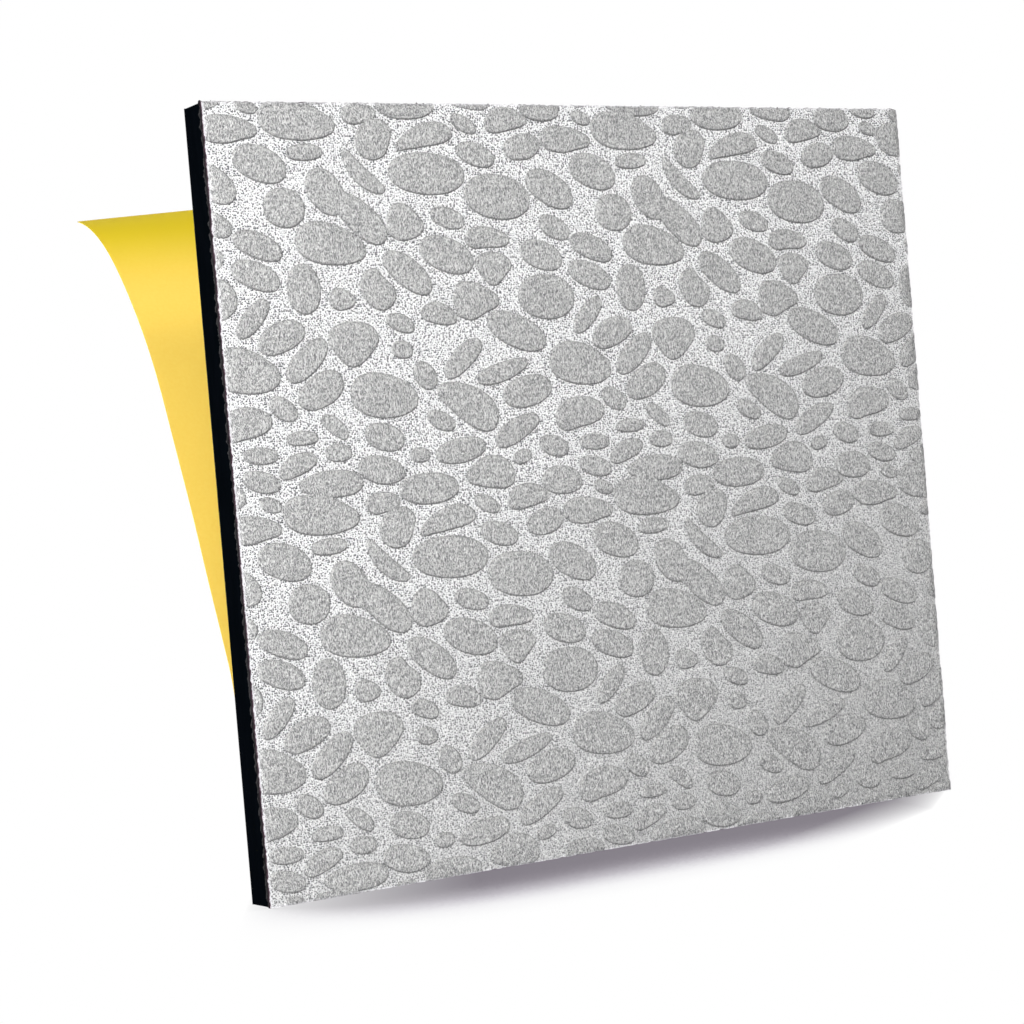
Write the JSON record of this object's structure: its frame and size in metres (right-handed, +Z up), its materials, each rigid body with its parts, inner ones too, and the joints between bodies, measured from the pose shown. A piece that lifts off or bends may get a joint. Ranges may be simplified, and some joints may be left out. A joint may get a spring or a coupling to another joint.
{
  "type": "felt acoustic panel",
  "caption": "Self-adhesive acoustic panel: pebble-embossed felt face on a black foam core, its adhesive back half bared by a curled release liner.",
  "frame": {"origin": "centre of the adhesive back face", "axes": "+X along the width, +Z up the height, +Y out of the adhesive back into the wall; the felt faces -Y"},
  "size_m": [0.3021, 0.1262, 0.27],
  "materials": {
    "felt": "needled felt, embossed",
    "bond": "thin hot-melt film",
    "foam": "closed-cell foam, cut smooth",
    "adhesive": "clear tacky coat over the black foam",
    "liner": "siliconed paper"
  },
  "bodies": {
    "root": {"face_felt": "felt", "bond_film": "bond", "foam_core": "foam", "adhesive_layer": "adhesive", "release_liner": "liner"}
  },
  "joints": []
}
